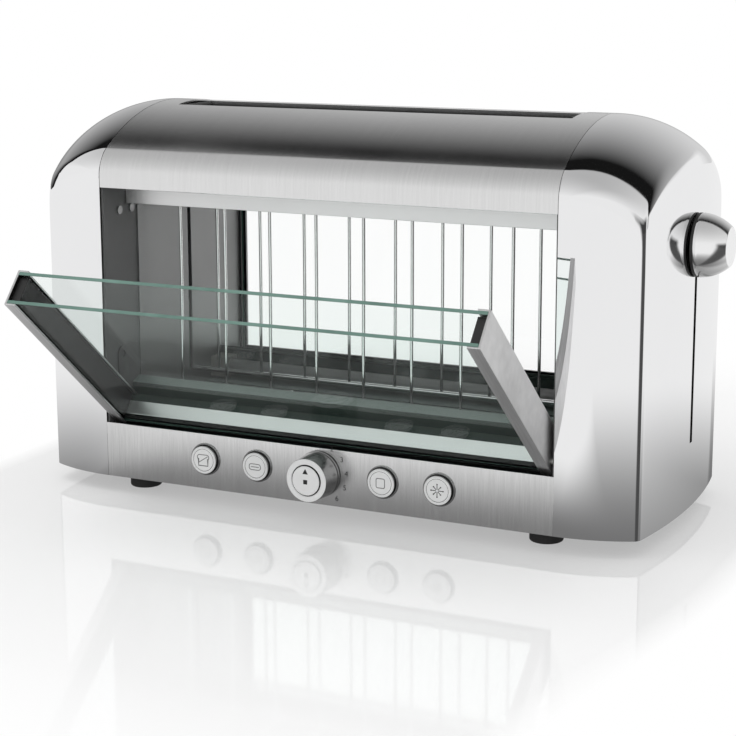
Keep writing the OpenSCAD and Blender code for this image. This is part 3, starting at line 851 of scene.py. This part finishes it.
def build_dial():
    """The browning knob with its well, the stop button in it, and the ring of numerals round it."""
    where = (CONTROL_X, -HALF_D, CONTROL_Z)
    lip, well, end = KNOB_R - 0.3, KNOB_WELL + 0.3, KNOB_L
    # the black band in the groove near the foot and the black wall down the well are painted shade
    profile = [(0, 0.8, "dial_side"), (KNOB_R + 0.95, 0.8, "dial_side"), (KNOB_R + 0.85, 2.0, "dial_side"),
               (KNOB_R + 0.55, 2.2, "black"), (KNOB_R + 0.55, 2.8, "black"),
               (KNOB_R + 0.78, 3.0, "dial_side"), (KNOB_R, end - 0.7, "dial_side"),
               (KNOB_R - 0.1, end - 0.3, "dial_side"),
               (lip, end - 0.05, "dial_face"), (lip - 0.4, end, "dial_face"),
               (well + 0.3, end, "dial_face"), (well, end - 0.3, "dial_face"),
               (well, end - 5.8, "black"), (0, end - 5.8, "black")]
    lathe_of("browning_knob_turned", profile, ("dial_side", "black", "dial_face"), where, "browning_knob")
    disc, top = KNOB_WELL - 0.3, KNOB_L + 1
    face = [(0, end - 3.4, "dial_side"), (disc, end - 3.4, "dial_side"), (disc, top - 0.7, "dial_side"),
            (disc - 0.2, top - 0.25, "dial_face"), (disc - 0.7, top, "dial_face"),
            (disc - 1.6, top - 0.05, "dial_face"), (0, top - 0.05, "dial_face")]
    lathe_of("stop_button_turned", face, ("dial_side", "dial_face"), where, "stop_button")
    on_face = (CONTROL_X, -HALF_D - top + 0.1, CONTROL_Z)
    square = rounded_box(1.25, 1.25, 0.2, 0, -0.6)
    ink("stop_button_mark", on_face, "stop", "dark_ink", [square])
    ink("dial_pointer", on_face, "stop", "dark_ink", [[(-1.7, 4.0), (1.7, 4.0), (0, 7.0)]])
    for number in range(1, 7):
        angle = math.radians(90 - 28 * (number - 1))
        printed_digit(number, CONTROL_X + DIGIT_R * math.cos(angle), CONTROL_Z + DIGIT_R * math.sin(angle))


def printed_digit(number, x, z):
    """A plain numeral printed on the panel."""
    text = bpy.data.curves.new(f"numeral_{number}", "FONT")
    text.body = str(number)
    text.align_x = "CENTER"
    text.align_y = "CENTER"
    text.size = DIGIT_SIZE * MM
    text.extrude = 0.05 * MM
    holder = bpy.data.objects.new(text.name, text)
    bpy.context.scene.collection.objects.link(holder)
    bpy.context.view_layer.update()
    graph = bpy.context.evaluated_depsgraph_get()
    mesh = bpy.data.meshes.new_from_object(holder.evaluated_get(graph))
    bpy.data.objects.remove(holder)
    bpy.data.curves.remove(text)
    mesh.name = f"panel_numeral_{number}"
    turn = Matrix.Rotation(math.pi / 2, 4, "X")
    mesh.transform(Matrix.Translation(Vector((x, -HALF_D, z)) * MM) @ turn)
    mesh.materials.clear()
    mesh.materials.append(MATERIAL["dark_ink"])
    form = bmesh.new()
    form.from_mesh(mesh)
    bmesh.ops.remove_doubles(form, verts=form.verts, dist=0.001 * MM)
    form.to_mesh(mesh)
    form.free()
    piece = bpy.data.objects.new(mesh.name, mesh)
    bpy.context.scene.collection.objects.link(piece)
    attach(piece, "casing")


def build_lever_knob():
    """A domed steel knob on a black collar, at the outer end of the lever."""
    length, curve, ease = 16.9, 26, 0.7
    collar_x, knob_x = END_X + 0.6, END_X + 2.1
    heights = [(length - ease) * k / 15 for k in range(16)]
    sides = [(KNOB_END_R - curve + math.sqrt(curve ** 2 - (along + 1) ** 2), along) for along in heights]
    middle_r = sides[-1][0] - 0.25 - ease
    rim = [(middle_r + ease * math.cos(a), length - ease + ease * math.sin(a))
           for a in (0.35, 0.8, 1.2, math.pi / 2)]
    knob = [(0, 0), (KNOB_END_R - 0.5, 0)] + sides[1:] + rim + [(0, length)]
    collar = [(0, 0), (17.6, 0), (17.8, 0.2), (17.8, 1.3), (17.6, 1.5), (0, 1.5)]
    lathe_of("lever_knob_turned", [(r, a, "knob") for r, a in knob], ("knob",),
             (knob_x, 0, LEVER_Z), "lever_knob", (1, 0, 0))
    lathe_of("lever_collar_turned", [(r, a, "black") for r, a in collar], ("black",),
             (collar_x, 0, LEVER_Z), "lever_knob_ring", (1, 0, 0))


# ---------- door rail ----------

def build_rail():
    """The silver rail at the foot of the door; its share along the inner pane is painted shade, in the dark
    green of the hoods.
    """
    mesh = dressed("door_bottom_rail").data
    mesh.materials.append(MATERIAL["hood_face"])
    inward = Vector((0, math.cos(DOOR_OPEN), math.sin(DOOR_OPEN)))
    reach = [inward.dot(v.co) for v in mesh.vertices]
    step = max(reach) - RAIL_SHADE * (max(reach) - min(reach))
    form = bmesh.new()
    form.from_mesh(mesh)
    whole = form.verts[:] + form.edges[:] + form.faces[:]
    bmesh.ops.bisect_plane(form, geom=whole, plane_co=inward * step, plane_no=inward)
    # faces beyond the cut take the painted shade
    for face in form.faces:
        if inward.dot(face.calc_center_median()) > step:
            face.material_index = 1
    form.to_mesh(mesh)
    form.free()


# ---------- build ----------

for node, item in frame["nodes"].items():
    finish = finish_of(node)
    item.data.materials.clear()
    item.data.materials.append(finish)

end_cap("cap_skin_left", "left_end_cap", -1)
end_cap("cap_skin_right", "right_end_cap", 1)
cover()
for node in ("front_panel", "rear_panel", "button_bezels", "feet", "door_seal", "door_spacers",
             "upper_hoods", "crumb_tray"):
    dressed(node)
# the inward web of each door channel takes the near-black inside material: painted shade
painted("door_channel_left", "inside", lambda f: f.normal.x > 0.7 and f.area > WEB_AREA)
painted("door_channel_right", "inside", lambda f: f.normal.x < -0.7 and f.area > WEB_AREA)
painted("lower_hoods", "hood_lip", lambda f: abs(f.normal.z) > 0.5)
# the jambs facing sideways are painted lighter grey than the black frame: painted light
painted("rear_window_frame", "jamb", lambda f: abs(f.normal.x) > 0.7)
build_buttons()
build_dial()
build_lever_knob()
build_rail()
for node in ("door_glass_outer", "door_glass_inner", "rear_glass_outer", "rear_glass_inner"):
    pane(node)


# ---------- stage ----------

GAP_START = (-1.05, -0.75)   # directions, as y over x, between which polished metal sees a dark gap
GAP_END = (-0.05, 0.1)


def product(tree, *values):
    result = values[0]
    for value in values[1:]:
        result = calc(tree, "MULTIPLY", result, value)
    return result


def mirrored_only(tree):
    """1 for rays thrown back by metal, 0 for rays that come straight or through glass."""
    path = tree.nodes.new("ShaderNodeLightPath")
    straight = calc(tree, "SUBTRACT", 1.0, path.outputs["Is Transmission Ray"])
    return calc(tree, "MULTIPLY", path.outputs["Is Glossy Ray"], straight)


def distance_past(tree, value, half):
    """How far a coordinate lies past the toaster's footprint."""
    past = calc(tree, "SUBTRACT", calc(tree, "ABSOLUTE", value), half * MM)
    return calc(tree, "MAXIMUM", past, 0.0)


def stage_floor():
    """White floor with a short faint mirror. Polished metal sees it shade off towards the toaster's feet."""
    size = 6.0
    mesh = bpy.data.meshes.new("floor")
    corners = [(-size, -size, 0), (size, -size, 0), (size, size, 0), (-size, size, 0)]
    mesh.from_pydata(corners, [], [(0, 1, 2, 3)])
    floor = bpy.data.objects.new("floor", mesh)
    bpy.context.scene.collection.objects.link(floor)
    made = bpy.data.materials.new("studio_floor")
    made.use_nodes = True
    tree = made.node_tree
    tree.nodes.clear()
    out = tree.nodes.new("ShaderNodeOutputMaterial")
    where = tree.nodes.new("ShaderNodeTexCoord")
    split = tree.nodes.new("ShaderNodeSeparateXYZ")
    join(tree, where.outputs["Object"], split.inputs[0])
    x, y = split.outputs["X"], split.outputs["Y"]
    over_x = distance_past(tree, x, END_X)
    over_y = distance_past(tree, y, HALF_D)
    away = calc(tree, "SQRT", calc(tree, "ADD", product(tree, over_x, over_x), product(tree, over_y, over_y)))
    diffuse = tree.nodes.new("ShaderNodeBsdfDiffuse")
    diffuse.inputs["Color"].default_value = (0.97, 0.97, 0.97, 1)
    mirror = tree.nodes.new("ShaderNodeBsdfGlossy")
    mirror.inputs["Roughness"].default_value = 0.05
    share = tree.nodes.new("ShaderNodeMixShader")
    join(tree, spread(tree, away, 0.0, 0.32, 0.42, 0.16), share.inputs[0])
    join(tree, diffuse.outputs[0], share.inputs[1])
    join(tree, mirror.outputs[0], share.inputs[2])
    # beyond the toaster's shadow the floor is as white as the backdrop, soonest beside the ends
    white = tree.nodes.new("ShaderNodeEmission")
    open_floor = tree.nodes.new("ShaderNodeMixShader")
    fade = calc(tree, "ADD", away, calc(tree, "MULTIPLY", over_x, 6.0))
    white_share = calc(tree, "MAXIMUM", spread(tree, fade, 0.0, 0.28, 0.1, 0.46),
                       spread(tree, fade, 0.24, 0.37, 0.4, 1.0))
    join(tree, white_share, open_floor.inputs[0])
    join(tree, share.outputs[0], open_floor.inputs[1])
    join(tree, white.outputs[0], open_floor.inputs[2])
    # the mirrored floor pales sooner in front of the panel, behind the right end and beside the left end
    facing = product(tree, spread(tree, x, -0.22, -0.12, 0, 1), spread(tree, x, 0.12, 0.2, 1, 0),
                     spread(tree, y, -0.1, -0.08, 1, 0))
    reach = product(tree, away, calc(tree, "ADD", calc(tree, "MULTIPLY", facing, 1.6), 1.0))
    reach = calc(tree, "SUBTRACT", reach, calc(tree, "MULTIPLY", facing, 0.1))
    corner_x, corner_y = 0.188, -0.074
    across = calc(tree, "MAXIMUM", calc(tree, "SUBTRACT", x, corner_x), 0.001)
    slope = calc(tree, "DIVIDE", calc(tree, "SUBTRACT", y, corner_y), across)
    right = product(tree, spread(tree, x, corner_x, 0.192, 0, 0.11), spread(tree, slope, 0.5, 1.0, 0, 1))
    left = spread(tree, x, -0.13, -0.18, 0, 0.10)
    reach = calc(tree, "ADD", reach, calc(tree, "ADD", right, left))
    shade = spread(tree, reach, 0.0, 0.42, 0.18, 0.88, eased=True)
    # a dark wedge off to the right, seen only in the front right corner
    wedge = product(tree, spread(tree, slope, *GAP_START, 0, 1), spread(tree, slope, *GAP_END, 1, 0),
                    spread(tree, x, 0.189, 0.191, 0, 1))
    seen = tree.nodes.new("ShaderNodeEmission")
    join(tree, blend_colours(tree, wedge, shade, 0.07), seen.inputs["Color"])
    final = tree.nodes.new("ShaderNodeMixShader")
    join(tree, mirrored_only(tree), final.inputs[0])
    join(tree, open_floor.outputs[0], final.inputs[1])
    join(tree, seen.outputs[0], final.inputs[2])
    join(tree, final.outputs[0], out.inputs[0])
    mesh.materials.append(made)


def studio_world():
    """Plain white round about. Polished metal sees a white tent in front and above, whose edge runs
    across just behind the top, and behind it a dark gap and a wall that pales towards the horizon."""
    world = bpy.data.worlds.new("studio")
    bpy.context.scene.world = world
    world.use_nodes = True
    tree = world.node_tree
    tree.nodes.clear()
    out = tree.nodes.new("ShaderNodeOutputWorld")
    where = tree.nodes.new("ShaderNodeTexCoord")
    split = tree.nodes.new("ShaderNodeSeparateXYZ")
    join(tree, where.outputs["Generated"], split.inputs[0])
    x, y, z = (split.outputs[k] for k in "XYZ")
    # the tent's edge comes forward on the left
    leftward = calc(tree, "MAXIMUM", calc(tree, "SUBTRACT", -0.5, x), 0.0)
    past = calc(tree, "ADD", y, calc(tree, "MULTIPLY", leftward, 0.3))
    tent = spread(tree, z, 0.25, 1.0, 0.87, 0.46)
    wall = spread(tree, past, 0.32, 1.0, 0.008, 0.68)
    edge = spread(tree, past, 0.18, 0.195, 0.0, 1.0)
    above = blend_colours(tree, edge, tent, wall)
    # low down behind the right end the wall is as pale as the tent, and elsewhere its foot is darker
    foot = product(tree, spread(tree, z, 0.0, 0.14, 0.5, 0.0), spread(tree, y, 0.5, 0.7, 0.0, 1.0),
                   spread(tree, x, -0.35, -0.1, 1.0, 0.0))
    above = blend_colours(tree, foot, above, 0.02)
    pale = product(tree, spread(tree, z, 0.14, 0.24, 1.0, 0.0), spread(tree, y, 0.1, 0.4, 0.0, 1.0),
                   spread(tree, x, 0.08, 0.26, 0.0, 1.0))
    mirrored = blend_colours(tree, pale, above, 0.885)
    # a dark gap off to the right, seen only in the upright corners
    sideways = calc(tree, "DIVIDE", y, calc(tree, "MAXIMUM", x, 0.01))
    gap = product(tree, spread(tree, sideways, *GAP_START, 0, 1), spread(tree, sideways, *GAP_END, 1, 0),
                  spread(tree, x, 0.66, 0.74, 0, 1), spread(tree, z, 0.12, 0.3, 1, 0))
    mirrored = blend_colours(tree, gap, mirrored, 0.05)
    path = tree.nodes.new("ShaderNodeLightPath")
    softened = blend_colours(tree, path.outputs["Is Diffuse Ray"], 1.0, 0.9)
    ground = tree.nodes.new("ShaderNodeBackground")
    join(tree, blend_colours(tree, mirrored_only(tree), softened, mirrored), ground.inputs["Color"])
    join(tree, ground.outputs[0], out.inputs[0])


def soft_lamp(name, where, size, power):
    data = bpy.data.lights.new(name, "AREA")
    data.shape = "SQUARE"
    data.size = size
    data.energy = power
    lamp = bpy.data.objects.new(name, data)
    bpy.context.scene.collection.objects.link(lamp)
    lamp.location = where
    lamp.rotation_mode = "QUATERNION"
    lamp.rotation_quaternion = (-Vector(where)).to_track_quat("-Z", "Y")
    lamp.visible_glossy = False
    lamp.visible_camera = False
    lamp.visible_transmission = False


def camera():
    """Long lens from the front right, a little above the toaster."""
    data = bpy.data.cameras.new("camera")
    view = bpy.data.objects.new("camera", data)
    bpy.context.scene.collection.objects.link(view)
    where = (469.09, -983.62, 314.36)
    yaw, pitch, roll = 0.4535, 0.2031, -0.0037
    forward = Vector((-math.sin(yaw) * math.cos(pitch), math.cos(yaw) * math.cos(pitch), -math.sin(pitch)))
    across = Vector((math.cos(yaw), math.sin(yaw), 0))
    above = across.cross(forward)
    turn = Matrix((across, above, -forward)).transposed()
    turn = (turn @ Matrix.Rotation(roll, 3, "Z")).to_4x4()
    view.matrix_world = Matrix.Translation(Vector(where) * MM) @ turn
    data.sensor_width = 36
    data.lens = 90.58
    data.shift_x = 0.0044
    data.shift_y = -0.0380
    data.clip_start = 0.01
    data.clip_end = 50
    bpy.context.scene.camera = view


stage_floor()
studio_world()
soft_lamp("lamp_above", (-0.5, -0.4, 1.6), 1.2, 9)
camera()
bpy.context.scene.view_settings.view_transform = "Standard"
